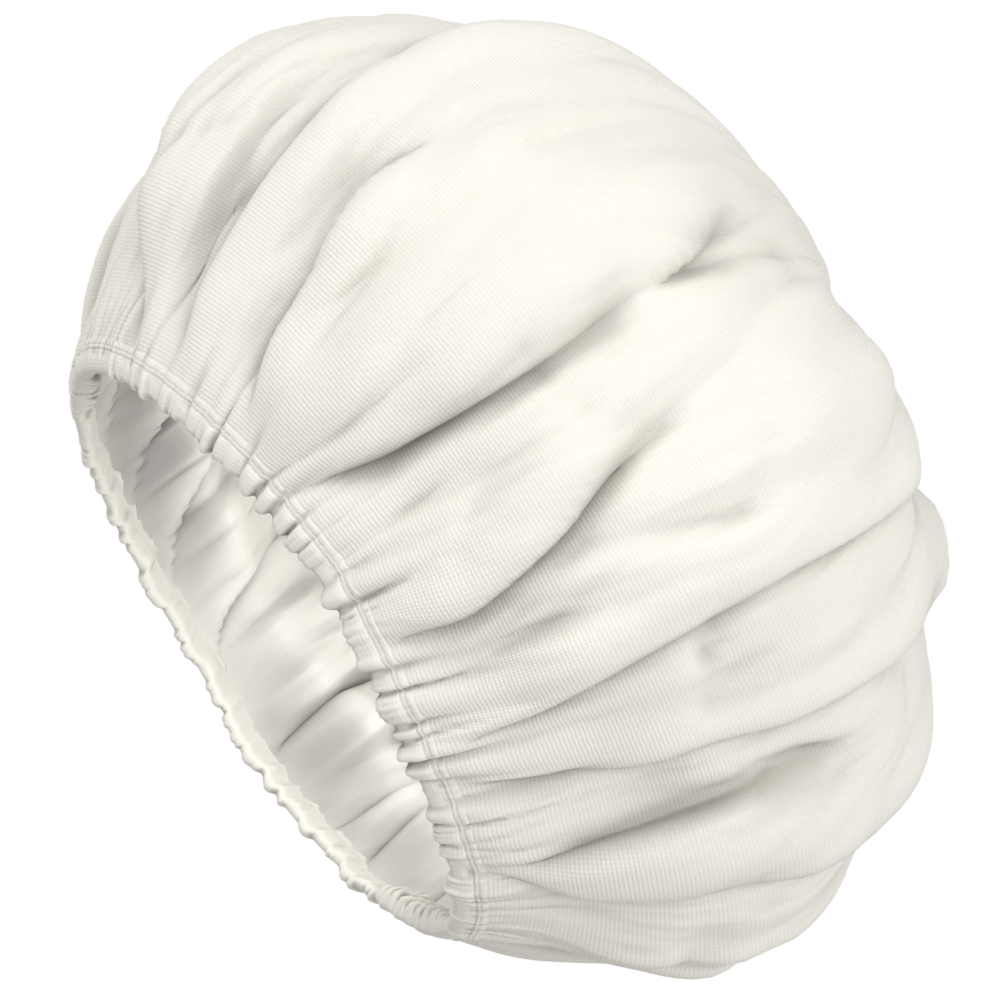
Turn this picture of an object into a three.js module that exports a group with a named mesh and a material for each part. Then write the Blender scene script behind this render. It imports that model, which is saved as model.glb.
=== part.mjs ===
// Shampoo cap: a gathered cloth crown with a lining, both sewn into a folded hem casing
// that holds an elastic band. Millimetres, +Z up to the crown, +X and -X the two ends of
// the oval head opening, and the origin at the middle of that opening.
import * as THREE from 'three';

// Head opening and crown, measured from the middle to the shell's outer face
const HEM_HALF_LENGTH = 100;
const HEM_HALF_WIDTH = 78;
const CROWN_HALF_LENGTH = 160;
const CROWN_HALF_WIDTH = 134;
const CROWN_HEIGHT = 216;
const WIDEST_HEIGHT = 103;
// The slack crown hangs this far towards +X above its widest ring
const CROWN_LEAN = 6;
// The elastic bends the hem out of its plane: its -Y side rises, and its +X half hangs lower
const HEM_ARCH = 3.5;
const HEM_DROP = 5;
// Where the drop starts and ends, as a share of the hem's half length towards +X
const DROP_STARTS = -0.2;
const DROP_ENDS = 0.5;
// Share of the way to the apex where the bend has died away
const BENT_UP_TO = 0.4;

// Cloth
const SHELL_WALL = 0.8;
const LINING_WALL = 1.2;
const LAYER_GAP = 0.35;

// Elastic band, an open strip whose ends lie over each other
const ELASTIC_THICKNESS = 0.9;
const ELASTIC_WIDTH = 5;
const ELASTIC_OVERLAP = 22;

// Folded hem casing, and how far the cloth reaches into it
const CASING_WALL = 0.7;
const CASING_GAP = 0.3;
const SEAM_OVERLAP = 4;
const GATHERS = 68;
const GATHER_DROP = 1.3;
const GATHER_BULGE = 0.9;
// Station where the elastic is joined, in degrees
const JOIN_STATION = 205;

// Twin rows of stitching through the casing and both cloths
const THREAD_DIAMETER = 0.5;
const ROW_FROM_CLOTH_EDGE = 1.3;
const ROW_SPACING = 1.5;

// Main folds of the crown. Stations are degrees round the hem from the -X end through -Y: where
// a fold's valley starts at the hem, half way up it and at its top, a share of the way to the
// apex. Before and after are the valley's reaches towards lower and higher stations.
const FOLDS = [
  { stations: [27, 11, 2], top: 0.6, depth: 9, before: 22, after: 3.5 },
  { stations: [43.5, 42.5, 36], top: 0.8, depth: 9, before: 30, after: 3.5 },
  { stations: [58, 54, 49], top: 0.36, depth: 8, before: 24, after: 3 },
  { stations: [64, 66, 64], top: 0.66, depth: 6, before: 8, after: 16 },
  { stations: [73, 81, 76], top: 0.62, depth: 9, before: 6, after: 19 },
  { stations: [99, 93, 94], top: 0.5, depth: 10, before: 3.5, after: 24 },
  { stations: [120, 115, 129], top: 0.76, depth: 8, before: 4, after: 18 },
  { stations: [127, 132, 141], top: 0.66, depth: 10, before: 4, after: 15 },
  { stations: [149, 156, 171], top: 0.66, depth: 11, before: 3.5, after: 24 },
  { stations: [175, 171, 181], top: 0.46, depth: 6, before: 4, after: 12 },
  { stations: [188, 193, 190], top: 0.78, depth: 8, before: 18, after: 4 },
  { stations: [207, 212, 209], top: 0.54, depth: 7, before: 4, after: 18 },
  { stations: [228, 233, 242], top: 0.9, depth: 8, before: 8, after: 18 },
  { stations: [246, 251, 250], top: 0.48, depth: 6, before: 4, after: 16 },
  { stations: [262, 268, 272], top: 0.66, depth: 8, before: 20, after: 4 },
  { stations: [292, 287, 281], top: 0.9, depth: 6, before: 8, after: 14 },
  { stations: [304, 309, 311], top: 0.58, depth: 6, before: 4, after: 18 },
  { stations: [322, 326, 333], top: 0.76, depth: 9, before: 18, after: 4 },
  { stations: [340, 343, 340], top: 0.5, depth: 6, before: 4, after: 16 },
  { stations: [364, 354, 345], top: 0.5, depth: 7, before: 22, after: 3.5 },
];
// Share of the way to the apex where the folds reach their depth, and of a fold where it fades
const FOLDS_FULL_AT = 0.17;
const FOLD_FADES_FROM = 0.6;
// Power of a valley's cross-section: 1 is a sharp crease, 2 a round dip
const VALLEY_POWER = 1.3;

// Places where the slack crown swells out or sinks in, and how far each reaches round and up
const BELLIES = [
  { station: 176, share: 0.25, swell: 14, degrees: 17, shares: 0.12 },
  { station: 152, share: 0.58, swell: -5, degrees: 10, shares: 0.12 },
];
// The slack top sinks between two ridges: how far, and where in X and in Y it starts and ends
const TOP_DIP = 4;
const DIP_X = [-2, 14, 62, 84];
const DIP_Y = [-105, -70, -10, 40];
const DIP_Z = [110, 150];

// Facets
const STATIONS_PER_FOLD = 3;
const CROWN_RINGS = 8;
const ELASTIC_STATIONS = 60;
const THREAD_STATIONS = 72;
const THREAD_SIDES = 6;

const SHELL_COLOUR = 0xf3f1e9;
const LINING_COLOUR = 0xe2e2df;
const CASING_COLOUR = 0xf5f3ea;
const ELASTIC_COLOUR = 0xf4f4f2;
const THREAD_COLOUR = 0xfaf8f0;
const CLOTH_ROUGHNESS = 0.9;

// Derived sizes. A run is a length up the cloth from the hem's edge, and an offset is a
// distance out from the shell's outer face.
const CLOTH_STACK = SHELL_WALL + LAYER_GAP + LINING_WALL;
const ELASTIC_STACK = 2 * ELASTIC_THICKNESS + CASING_GAP;
const CHANNEL_WIDTH = Math.max(CLOTH_STACK, ELASTIC_STACK) + 2 * CASING_GAP;
const CHANNEL_OUTER = (CHANNEL_WIDTH - CLOTH_STACK) / 2;
const CHANNEL_INNER = CHANNEL_OUTER - CHANNEL_WIDTH;
const ELASTIC_RUN = CASING_WALL + CASING_GAP;
const CLOTH_EDGE_RUN = ELASTIC_RUN + ELASTIC_WIDTH + CASING_GAP;
const CASING_RUN = CLOTH_EDGE_RUN + SEAM_OVERLAP;
const CLOTH_FREE_RUN = CASING_RUN + 4 * CASING_GAP;
const LOWER_ROW_RUN = CLOTH_EDGE_RUN + ROW_FROM_CLOTH_EDGE;
const UPPER_ROW_RUN = LOWER_ROW_RUN + ROW_SPACING;

const FULL_TURN = 360;
const smooth = THREE.MathUtils.smoothstep;
const rad = THREE.MathUtils.degToRad;

// The crown's plain form: an oval bowl that swings in below its widest ring.
// share runs from 0 at the hem to 1 at the apex.
const HEM_PROFILE_ANGLE = -Math.acos(HEM_HALF_LENGTH / CROWN_HALF_LENGTH);

function dome(station, share) {
  const profile = THREE.MathUtils.lerp(HEM_PROFILE_ANGLE, Math.PI / 2, share);
  const reach = Math.cos(profile);
  const hemReach = Math.cos(HEM_PROFILE_ANGLE);
  const below = profile < 0;
  const spread = (reach - hemReach) / (1 - hemReach);
  const length = below
    ? THREE.MathUtils.lerp(HEM_HALF_LENGTH, CROWN_HALF_LENGTH, spread)
    : CROWN_HALF_LENGTH * reach;
  const width = below
    ? THREE.MathUtils.lerp(HEM_HALF_WIDTH, CROWN_HALF_WIDTH, spread)
    : CROWN_HALF_WIDTH * reach;
  const lift = Math.sin(profile);
  const height = below
    ? WIDEST_HEIGHT * (1 - lift / Math.sin(HEM_PROFILE_ANGLE))
    : WIDEST_HEIGHT + (CROWN_HEIGHT - WIDEST_HEIGHT) * lift;
  const lean = CROWN_LEAN * smooth(height, WIDEST_HEIGHT, CROWN_HEIGHT);
  const angle = rad(station);
  const arch = HEM_ARCH * Math.max(0, Math.sin(angle)) ** 2;
  const drop = HEM_DROP * smooth(-Math.cos(angle), DROP_STARTS, DROP_ENDS);
  const z = height + (arch - drop) * (1 - smooth(share, 0, BENT_UP_TO));
  return new THREE.Vector3(lean - length * Math.cos(angle), -width * Math.sin(angle), z);
}

function outward(station, share) {
  const step = 1e-4;
  const along = dome(station + step, share).sub(dome(station - step, share));
  const upper = Math.min(1, share + step);
  const up = dome(station, upper).sub(dome(station, upper - 2 * step));
  return along.cross(up).normalize();
}

// Share of the way to the apex that lies a given run up from the hem
function shareOfRun(station, run) {
  const step = 1e-3;
  const slope = dome(station, step).distanceTo(dome(station, 0)) / step;
  return run / slope;
}

function hemPoint(station, run, offset) {
  const share = shareOfRun(station, run);
  return dome(station, share).addScaledVector(outward(station, share), offset);
}

// Station of a fold's valley, on a smooth curve through its three stations
function valleyStation({ stations: [first, middle, last], top }, share) {
  const u = Math.min(1, share / top);
  return middle + (first - middle) * (1 - u) * (1 - 2 * u) + (last - middle) * u * (2 * u - 1);
}

// How deep a fold is at a distance along the ring from its valley
function foldDepth({ top, depth, before, after }, distance, share) {
  const fade = smooth(share, 0, FOLDS_FULL_AT) * (1 - smooth(share / top, FOLD_FADES_FROM, 1));
  const reach = Math.abs(distance) / (distance < 0 ? before : after);
  return depth * fade * Math.exp(-(reach ** VALLEY_POWER));
}

const between = (value, [begins, full, ends, gone]) =>
  smooth(value, begins, full) * (1 - smooth(value, ends, gone));

// How far the slack cloth stands out from the plain form away from its folds
function slack(station, share) {
  const { x, y, z } = dome(station, share);
  const dip = TOP_DIP * between(x, DIP_X) * between(y, DIP_Y) * smooth(z, ...DIP_Z);
  return BELLIES.reduce((sum, belly) => {
    const spread = ((station - belly.station) / belly.degrees) ** 2
      + ((share - belly.share) / belly.shares) ** 2;
    return sum + belly.swell * Math.exp(-spread);
  }, -dip);
}

// How far the folded crown stands out from the plain form between a fold and the next
function relief({ fold, next, lap }, station, share) {
  const degree = dome(station + 0.5, share).distanceTo(dome(station - 0.5, share));
  const past = (station - valleyStation(fold, share)) * degree;
  const ahead = (station - valleyStation(next, share) - lap) * degree;
  return slack(station, share) - foldDepth(fold, past, share) - foldDepth(next, ahead, share);
}

// Columns of the cloth: on each fold and at even steps to the next
const COLUMNS = FOLDS.flatMap((fold, i) => {
  const next = FOLDS[(i + 1) % FOLDS.length];
  const lap = i === FOLDS.length - 1 ? FULL_TURN : 0;
  return Array.from({ length: STATIONS_PER_FOLD }, (_, k) => {
    const u = k / STATIONS_PER_FOLD;
    return { fold, next, lap, u };
  });
});

const columnStation = ({ fold, next, lap, u }, share) =>
  THREE.MathUtils.lerp(valleyStation(fold, share), valleyStation(next, share) + lap, u);

// The two unfolded rings inside and just above the casing, a depth in from the shell's outer face
const hemRings = (depth) => [CLOTH_EDGE_RUN, CLOTH_FREE_RUN].map((run) =>
  COLUMNS.map((column) => hemPoint(columnStation(column, 0), run, -depth)));

// The shell's outer face as rings of points from the casing up, and the apex
function crownSkin() {
  const rings = hemRings(0);
  for (let k = 1; k <= CROWN_RINGS; k += 1) {
    const share = k / (CROWN_RINGS + 1);
    rings.push(COLUMNS.map((column) => {
      const station = columnStation(column, share);
      return dome(station, share)
        .addScaledVector(outward(station, share), relief(column, station, share));
    }));
  }
  return { rings, apex: dome(0, 1), depth: 0 };
}

function skinTriangles({ rings }) {
  const count = rings[0].length;
  const apex = rings.length * count;
  const triangles = [];
  for (let k = 0; k < rings.length; k += 1) {
    for (let i = 0; i < count; i += 1) {
      const next = (i + 1) % count;
      const a = k * count + i;
      const b = k * count + next;
      if (k === rings.length - 1) {
        triangles.push([a, b, apex]);
      } else {
        triangles.push([a, b, b + count], [a, b + count, a + count]);
      }
    }
  }
  return triangles;
}

const skinPoints = ({ rings, apex }) => [...rings.flat(), apex];

// The same skin moved in by a distance, mitred so that its facets stay that far apart
function inset(skin, distance) {
  const points = skinPoints(skin);
  const triangles = skinTriangles(skin);
  const sums = points.map(() => new THREE.Vector3());
  const faces = triangles.map(([a, b, c]) => {
    const normal = points[b].clone().sub(points[a]).cross(points[c].clone().sub(points[a]));
    normal.normalize();
    [a, b, c].forEach((corner) => sums[corner].add(normal));
    return normal;
  });
  sums.forEach((sum) => sum.normalize());
  const steepest = points.map(() => 1);
  triangles.forEach((corners, f) => corners.forEach((corner) => {
    steepest[corner] = Math.min(steepest[corner], sums[corner].dot(faces[f]));
  }));
  const moved = points.map((point, i) =>
    point.clone().addScaledVector(sums[i], -distance / steepest[i]));
  const count = COLUMNS.length;
  const depth = skin.depth + distance;
  const rings = skin.rings.map((ring, k) => moved.slice(k * count, (k + 1) * count));
  rings.splice(0, 2, ...hemRings(depth));
  return { rings, apex: moved[moved.length - 1], depth };
}

function solidFrom(points, triangles) {
  const geometry = new THREE.BufferGeometry().setFromPoints(points);
  geometry.setIndex(triangles.flat());
  geometry.computeVertexNormals();
  return geometry;
}

// A closed cloth between two skins with the same stations and rings
function clothSolid(outer, inner) {
  const outerPoints = skinPoints(outer);
  const shift = outerPoints.length;
  const count = outer.rings[0].length;
  const triangles = skinTriangles(outer);
  skinTriangles(inner).forEach(([a, b, c]) => triangles.push([a + shift, c + shift, b + shift]));
  for (let i = 0; i < count; i += 1) {
    const next = (i + 1) % count;
    triangles.push([i, i + shift, next + shift], [i, next + shift, next]);
  }
  return solidFrom([...outerPoints, ...skinPoints(inner)], triangles);
}

// A solid swept round the hem from sections that go anticlockwise, offset to the right and run up
function sweep(sections, closed) {
  const sides = sections[0].length;
  const points = sections.flat();
  const triangles = [];
  const last = closed ? sections.length : sections.length - 1;
  for (let j = 0; j < last; j += 1) {
    for (let p = 0; p < sides; p += 1) {
      const next = (p + 1) % sides;
      const there = ((j + 1) % sections.length) * sides;
      const a = j * sides + p;
      const b = j * sides + next;
      triangles.push([a, there + p, there + next], [a, there + next, b]);
    }
  }
  if (!closed) {
    const end = (sections.length - 1) * sides;
    for (let p = 1; p < sides - 1; p += 1) {
      triangles.push([0, p, p + 1], [end, end + p + 1, end + p]);
    }
  }
  return solidFrom(points, triangles);
}

function hemCasing() {
  const stations = 2 * GATHERS;
  const outer = CHANNEL_OUTER + CASING_WALL;
  const inner = CHANNEL_INNER - CASING_WALL;
  const middle = (outer + inner) / 2;
  const sections = Array.from({ length: stations }, (_, j) => {
    // every other station is the crest of a gather, which drops below the edge and bulges
    const crest = j % 2;
    const drop = -GATHER_DROP * crest;
    const bulge = GATHER_BULGE * crest;
    const station = (FULL_TURN * j) / stations;
    return [
      [outer + bulge, ELASTIC_RUN + drop],
      [outer, LOWER_ROW_RUN - THREAD_DIAMETER],
      [outer, CASING_RUN],
      [CHANNEL_OUTER, CASING_RUN],
      [CHANNEL_OUTER, CASING_WALL],
      [CHANNEL_INNER, CASING_WALL],
      [CHANNEL_INNER, CASING_RUN],
      [inner, CASING_RUN],
      [inner - bulge, ELASTIC_RUN + drop],
      [middle, drop],
    ].map(([offset, run]) => hemPoint(station, run, offset));
  });
  return sweep(sections, true);
}

function elasticBand() {
  const girthPerDegree = hemPoint(JOIN_STATION + 1, ELASTIC_RUN, 0)
    .distanceTo(hemPoint(JOIN_STATION, ELASTIC_RUN, 0));
  const turn = FULL_TURN + ELASTIC_OVERLAP / girthPerDegree;
  const centre = (CHANNEL_OUTER + CHANNEL_INNER) / 2;
  const step = ELASTIC_THICKNESS + CASING_GAP;
  const half = ELASTIC_THICKNESS / 2;
  const top = ELASTIC_RUN + ELASTIC_WIDTH;
  const sections = Array.from({ length: ELASTIC_STATIONS + 1 }, (_, j) => {
    const along = j / ELASTIC_STATIONS;
    const station = JOIN_STATION + along * turn;
    // the strip crosses from the inner lap to the outer lap over one turn
    const lap = THREE.MathUtils.clamp((along * turn - (turn - FULL_TURN))
      / (2 * FULL_TURN - turn), 0, 1) - 0.5;
    const middle = centre + step * lap;
    return [
      [middle + half, ELASTIC_RUN],
      [middle + half, top],
      [middle - half, top],
      [middle - half, ELASTIC_RUN],
    ].map(([offset, run]) => hemPoint(station, run, offset));
  });
  return sweep(sections, false);
}

function stitchRow(run) {
  const radius = THREAD_DIAMETER / 2;
  const offset = CHANNEL_OUTER + CASING_WALL + CASING_GAP + radius;
  const sections = Array.from({ length: THREAD_STATIONS }, (_, j) => {
    const station = (FULL_TURN * j) / THREAD_STATIONS;
    return Array.from({ length: THREAD_SIDES }, (__, p) => {
      const angle = (2 * Math.PI * p) / THREAD_SIDES;
      return hemPoint(station, run + radius * Math.sin(angle), offset + radius * Math.cos(angle));
    });
  });
  return sweep(sections, true);
}

function piece(name, geometry, color) {
  const material = new THREE.MeshStandardMaterial({ color, roughness: CLOTH_ROUGHNESS, metalness: 0 });
  const mesh = new THREE.Mesh(geometry, material);
  mesh.name = name;
  return mesh;
}

const shellOuter = crownSkin();
const shellInner = inset(shellOuter, SHELL_WALL);
const liningOuter = inset(shellInner, LAYER_GAP);
const liningInner = inset(liningOuter, LINING_WALL);

const cap = new THREE.Group();
cap.add(
  piece('outer_shell', clothSolid(shellOuter, shellInner), SHELL_COLOUR),
  piece('lining', clothSolid(liningOuter, liningInner), LINING_COLOUR),
  piece('hem_casing', hemCasing(), CASING_COLOUR),
  piece('elastic_band', elasticBand(), ELASTIC_COLOUR),
  piece('stitch_row_lower', stitchRow(LOWER_ROW_RUN), THREAD_COLOUR),
  piece('stitch_row_upper', stitchRow(UPPER_ROW_RUN), THREAD_COLOUR),
);

export default cap;
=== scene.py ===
# %% [markdown]
# # A gathered shampoo cap
# The cap is a sewn soft good: a ribbed cloth crown, a smooth lining, and a folded hem casing
# with an elastic band in it, closed by two rows of stitching. This lesson dresses the plain
# construction model with real cloth. Everything stays in the construction model's frame:
# +Z runs up to the crown, the head opening lies in the XY plane and the units are metres.

# %% Load the construction model
import math

import bmesh
import bpy
import numpy as np
from mathutils import Matrix, Vector


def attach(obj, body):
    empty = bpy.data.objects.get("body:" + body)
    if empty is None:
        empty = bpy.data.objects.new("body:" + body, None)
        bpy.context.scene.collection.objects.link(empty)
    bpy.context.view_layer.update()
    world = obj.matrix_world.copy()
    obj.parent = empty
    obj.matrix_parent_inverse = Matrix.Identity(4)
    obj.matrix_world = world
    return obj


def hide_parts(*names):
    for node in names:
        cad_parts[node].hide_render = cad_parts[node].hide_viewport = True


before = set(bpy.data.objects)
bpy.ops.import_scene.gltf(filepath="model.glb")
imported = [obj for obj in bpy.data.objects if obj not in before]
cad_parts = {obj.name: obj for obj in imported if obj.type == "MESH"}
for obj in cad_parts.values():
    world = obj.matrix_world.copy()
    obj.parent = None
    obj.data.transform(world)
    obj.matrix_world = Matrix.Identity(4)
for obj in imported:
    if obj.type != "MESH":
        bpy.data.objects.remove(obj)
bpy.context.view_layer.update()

# %% [markdown]
# ## The plain form under the folds
# The crown is an oval bowl that swings in below its widest ring to the smaller head opening.
# A place on the cloth is given by its station, the angle round the hem in degrees from the
# -X end through -Y, and its share of the way from the hem to the apex. The sizes are in
# millimetres, as a maker would measure them, and turn into metres when a mesh is written.

# %% The oval bowl
MM = 0.001
HEM_HALF_LENGTH, HEM_HALF_WIDTH = 100.0, 78.0
CROWN_HALF_LENGTH, CROWN_HALF_WIDTH = 160.0, 134.0
CROWN_HEIGHT, WIDEST_HEIGHT = 216.0, 103.0
CROWN_LEAN = 6.0
# the elastic bends the hem out of its plane: its -Y side rises, and its +X half hangs lower.
# The drop sets in between two places along X, in half lengths of the hem.
HEM_ARCH, HEM_DROP, BENT_UP_TO = 3.5, 5.0, 0.4
DROP_SETS_IN = (-0.2, 0.5)
HEM_PROFILE_ANGLE = -math.acos(HEM_HALF_LENGTH / CROWN_HALF_LENGTH)
FULL_TURN = 360.0


def ramp(value, start, end):
    """Goes smoothly from 0 at start to 1 at end."""
    u = np.clip((value - start) / (end - start), 0.0, 1.0)
    return u * u * (3.0 - 2.0 * u)


def between(value, begins, full, ends, gone):
    """1 between full and ends, and smoothly 0 outside begins and gone."""
    return ramp(value, begins, full) * (1.0 - ramp(value, ends, gone))


def bowl(station, share):
    """The place of a point on the bowl, in millimetres."""
    profile = HEM_PROFILE_ANGLE + share * (math.pi / 2 - HEM_PROFILE_ANGLE)
    reach, lift = np.cos(profile), np.sin(profile)
    hem_reach = math.cos(HEM_PROFILE_ANGLE)
    spread = (reach - hem_reach) / (1.0 - hem_reach)
    below = profile < 0
    length = np.where(below, HEM_HALF_LENGTH + (CROWN_HALF_LENGTH - HEM_HALF_LENGTH) * spread,
                      CROWN_HALF_LENGTH * reach)
    width = np.where(below, HEM_HALF_WIDTH + (CROWN_HALF_WIDTH - HEM_HALF_WIDTH) * spread,
                     CROWN_HALF_WIDTH * reach)
    height = np.where(below, WIDEST_HEIGHT * (1.0 - lift / math.sin(HEM_PROFILE_ANGLE)),
                      WIDEST_HEIGHT + (CROWN_HEIGHT - WIDEST_HEIGHT) * lift)
    lean = CROWN_LEAN * ramp(height, WIDEST_HEIGHT, CROWN_HEIGHT)
    angle = np.radians(station)
    arch = HEM_ARCH * np.maximum(np.sin(angle), 0.0) ** 2
    bend = arch - HEM_DROP * ramp(-np.cos(angle), *DROP_SETS_IN)
    height = height + bend * (1.0 - ramp(share, 0.0, BENT_UP_TO))
    return np.stack([lean - length * np.cos(angle), -width * np.sin(angle), height], axis=-1)


def unit(vectors):
    return vectors / np.maximum(np.linalg.norm(vectors, axis=-1, keepdims=True), 1e-9)


def bowl_frame(station, share):
    """The outward, round-the-ring and up-the-meridian directions, and millimetres per degree."""
    step = 1e-4
    low = np.minimum(share, 1.0 - 2.0 * step)
    ring = bowl(station + step, low) - bowl(station - step, low)
    rise = bowl(station, low + step) - bowl(station, low)
    along, up = unit(ring), unit(rise)
    return unit(np.cross(along, up)), along, up, np.linalg.norm(ring, axis=-1) / (2.0 * step)


# %% [markdown]
# Sewing sizes, such as the height of a row of stitches, are lengths up the cloth. Such a run
# is measured from the hem's edge on an average meridian, and turns into a share here.

# %% Runs up the cloth
MERIDIAN_POINTS, AVERAGE_STATION = 400, 45.0
SHARES = np.linspace(0.0, 1.0, MERIDIAN_POINTS)
MERIDIAN = bowl(np.full(MERIDIAN_POINTS, AVERAGE_STATION), SHARES)
RUNS = np.concatenate([[0.0], np.cumsum(np.linalg.norm(np.diff(MERIDIAN, axis=0), axis=1))])
APEX_RUN = float(RUNS[-1])


def share_of_run(run):
    """The share at a run. Below the hem's edge the cloth goes straight on."""
    slope = SHARES[1] / RUNS[1]
    return np.where(run < 0.0, run * slope, np.interp(run, RUNS, SHARES))


print(f"hem to apex: {APEX_RUN:.0f} mm up the cloth")

# %% [markdown]
# ## Unevenness
# Cloth is never quite even. A noise texture could move it, but it doesn't join up round a
# sleeve. A sum of a few waves round the cap, with seeded phases, gives a smooth wandering
# value that joins up at the last station and is the same on every run.

# %% A smooth uneven field
SEED, WAVES = 11, 14
RANDOM = np.random.default_rng(SEED)


def uneven(turns, climb):
    """A smooth uneven field round the cap, about -1 to 1, from a fixed set of waves."""
    rounds = RANDOM.integers(turns[0], turns[1] + 1, WAVES)
    climbs = RANDOM.uniform(-climb, climb, WAVES)
    phases = RANDOM.uniform(0.0, math.tau, WAVES)

    def field(station, share):
        angle = np.radians(station)
        waves = (np.sin(angle * n + share * c + p) for n, c, p in zip(rounds, climbs, phases))
        return sum(waves) / math.sqrt(WAVES)

    return field


print(f"{WAVES} waves make an uneven field")

# %% [markdown]
# ## Folds
# A main fold is a valley that runs up from the hem. Its cross-section has a steep side and a
# gentle side, and where the cloth rolls over the valley the steep side leans past the bottom,
# which gives the sharp dark line that a plain ripple never shows. They could be sculpted by
# hand or simulated. Here they are formulas, so each fold can be put where the real cap has
# it, and the lining can follow the same ones.

# %% Places of the main folds
# from share, to share, stations at the low end, middle and high end, depth, width before and
# after the valley, roll: millimetres that the cloth before (+) or after (-) leans over it, and
# the share of the fold's own length at which the overlap has opened out into a soft valley
FOLDS = [
    (0.02, 0.50, 4, 354, 345, 7, 22, 3.5, -5, 1.2),
    (0.02, 0.60, 27, 11, 2, 9, 22, 3.5, -7, 1.3),
    (0.05, 0.28, 34, 33, 32, 2.5, 6, 2.5, -3, 0.8),
    (0.03, 0.84, 40, 38.5, 32, 11, 30, 3.5, -9, 1.3),
    (0.03, 0.38, 59, 54.5, 51, 9, 24, 3, -8, 1.2),
    (0.06, 0.66, 58.5, 61.5, 61, 5.5, 8, 17, 2.5, 0.6),
    (0.03, 0.38, 68, 73, 73, 3.5, 4, 9, 2, 0.7),
    (0.38, 0.74, 60, 58, 54, 5, 14, 7, -2, 0.6),
    (0.02, 0.62, 73, 81, 76, 11, 5, 19, 6, 0.8),
    (0.40, 0.68, 83, 78, 71, 6, 5, 10, 5, 0.8),
    (0.46, 1.30, 81, 85, 98, 8, 9, 16, 3, 0.5),
    (0.02, 0.54, 101, 95.5, 97.5, 12, 3.0, 24, 10, 0.75),
    (0.02, 0.26, 109, 107, 105, 3, 4, 8, 2, 0.7),
    (0.02, 0.76, 120, 115, 129, 8, 4, 18, 5, 1.1),
    (0.02, 0.34, 127, 130, 131, 8, 4, 11, 5, 1.0),
    (0.22, 0.66, 131, 134, 141, 10, 4, 15, 6, 1.2),
    (0.02, 0.50, 146, 141, 148, 8, 18, 4, -5, 0.8),
    (0.02, 0.66, 149, 156, 171, 14, 3.5, 24, 10, 1.3),
    (0.05, 0.46, 175, 171, 181, 6, 4, 12, 5, 1.0),
    (0.02, 0.78, 188, 193, 190, 8, 18, 4, -6, 1.1),
    (0.02, 0.54, 207, 212, 209, 7, 4, 18, 6, 0.8),
    (0.02, 0.90, 228, 233, 242, 9, 8, 18, 4, 0.9),
    (0.02, 0.48, 246, 251, 250, 6, 4, 16, 6, 1.2),
    (0.02, 0.66, 262, 268, 272, 8, 20, 4, -6, 0.8),
    (0.02, 0.94, 292, 287, 281, 8, 8, 17, 4, 1.1),
    (0.02, 0.58, 304, 309, 311, 7, 4, 18, 6, 0.8),
    (0.02, 0.76, 322, 326, 333, 9, 18, 4, -6, 1.2),
    (0.02, 0.50, 340, 343, 340, 6, 4, 16, 5, 0.9),
]
# slack bellies: station, share, swell, and how far each one reaches round and up the cloth
BELLIES = [(176, 0.25, 14.0, 17.0, 0.12), (152, 0.58, -5.0, 10.0, 0.12), (5, 0.42, -6.0, 25.0, 0.16)]
print(f"{len(FOLDS)} main folds and {len(BELLIES)} bellies")

# %% Form of the main folds
# share over which a fold sets in, and share of its length over which its overlap opens out
FOLD_START, OPENS_OVER = 0.10, 0.5
# an opened valley's width, as a share of the fold's wider side, and the share of depth it loses
OPEN_WIDTH, OPEN_LOSS = 0.6, 0.3
# share of its length at which a fold starts to die out, and what a late opening adds to it
DIES_FROM, DIES_LATER = 0.35, 0.25
# the ridge behind a rolled edge: its height as a share of the roll, then its place, front and
# back in widths of the valley's side
RIDGE, RIDGE_PLACE, RIDGE_FRONT, RIDGE_BACK = 0.4, 1.5, 0.8, 3.5
# how a valley's flank falls off: 1 is a sharp crease and 2 a round bell
VALLEY_FLANK = 1.3
# shares between which the folds die out, because all stations meet at the apex
TOP_CALMS = (0.78, 0.95)


def turn_from(station, centre):
    """Degrees from a centre, the short way round."""
    return (station - centre + FULL_TURN / 2) % FULL_TURN - FULL_TURN / 2


def fold_line(share, low, high, first, middle, last):
    """The station of a fold at each share, on a smooth curve through its three stations."""
    u = np.clip((share - low) / (high - low), 0.0, 1.0)
    return (middle + turn_from(first, middle) * (1 - u) * (1 - 2 * u)
            + turn_from(last, middle) * u * (2 * u - 1))


def main_folds(station, share, degree, broad=1.0, overlap=1.0):
    """How far the cloth is pushed out, and how far it leans round the ring, in millimetres."""
    push, lean = np.zeros_like(station), np.zeros_like(station)
    near_top = 1.0 - ramp(share, *TOP_CALMS)
    for low, high, first, middle, last, depth, before, after, roll, opens in FOLDS:
        across = turn_from(station, fold_line(share, low, high, first, middle, last)) * degree
        climb = np.clip((share - low) / (high - low), 0.0, 1.0)
        opening = ramp(climb, opens - OPENS_OVER, opens)
        dying = ramp(climb, DIES_FROM + DIES_LATER * opens, 1.0)
        fade = ramp(share, low, low + FOLD_START) * (1.0 - dying) * near_top
        opened = OPEN_WIDTH * max(before, after) * opening
        reach = np.abs(across) / np.maximum(np.where(across < 0, before, after), opened) / broad
        push -= depth * (1.0 - OPEN_LOSS * opening) * fade * np.exp(-reach ** VALLEY_FLANK)
        lies_over = np.where((across < 0) == (roll > 0), overlap * fade * (1.0 - opening), 0.0)
        lean += roll * lies_over * reach * np.exp(1.0 - reach)
        behind = (reach - RIDGE_PLACE) / np.where(reach < RIDGE_PLACE, RIDGE_FRONT, RIDGE_BACK)
        push += RIDGE * abs(roll) * lies_over * np.exp(-behind ** 2)
    for place, level, swell, wide, tall in BELLIES:
        spread = (turn_from(station, place) / wide) ** 2 + ((share - level) / tall) ** 2
        push += swell * np.exp(-spread)
    return push, lean


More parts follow.
